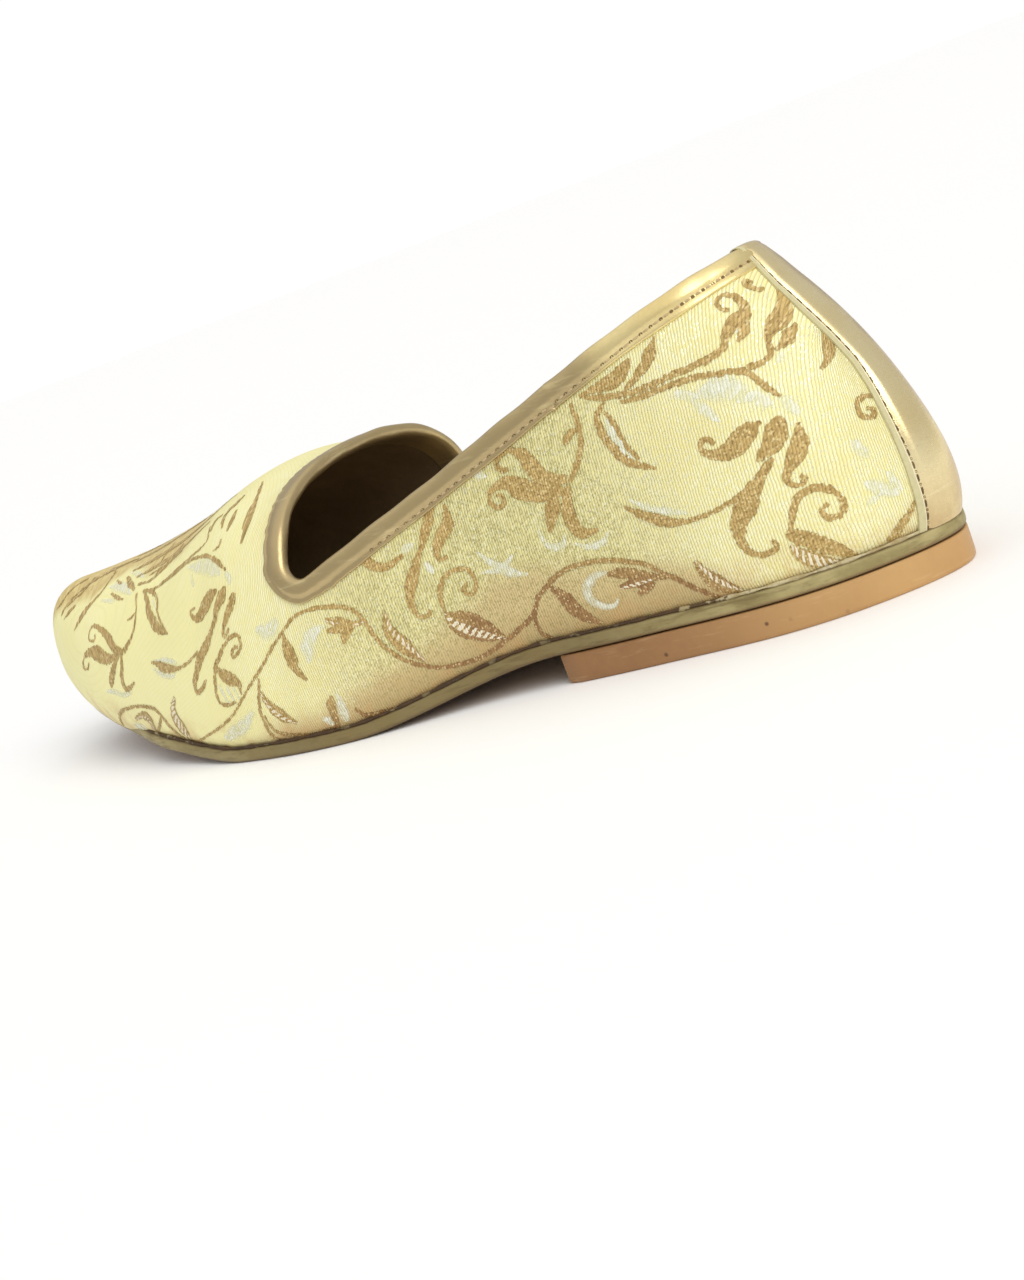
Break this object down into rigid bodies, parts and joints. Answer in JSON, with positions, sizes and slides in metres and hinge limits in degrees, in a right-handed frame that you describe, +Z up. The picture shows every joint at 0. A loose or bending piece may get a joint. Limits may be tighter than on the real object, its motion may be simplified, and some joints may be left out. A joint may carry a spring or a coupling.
{
  "type": "mojari shoe",
  "caption": "Left slip-on mojari with a gold brocade upper, folded collar binding, heel strip, thin sprung outsole and low block heel.",
  "frame": {"origin": "centre of the shoe's bounding box, on the floor plane that the heel and the ball of the sole stand on", "axes": "+X from heel to toe, +Y to the wearer's left, which is this left shoe's little-toe side, +Z up"},
  "size_m": [0.2794, 0.0942, 0.0759],
  "materials": {
    "painted_sole": "leather sole with a dull gold painted edge",
    "heel_block": "smooth tan resin rubber",
    "insole_sock": "matt dark brown sock leather",
    "brocade": "ribbed gold brocade with bronze and silver scrolls",
    "gold_leather": "satin metallic gold leather"
  },
  "bodies": {
    "root": {"outsole": "painted_sole", "heel": "heel_block", "insole": "insole_sock", "upper": "brocade", "collar_binding": "gold_leather", "heel_strip": "gold_leather"}
  },
  "joints": []
}
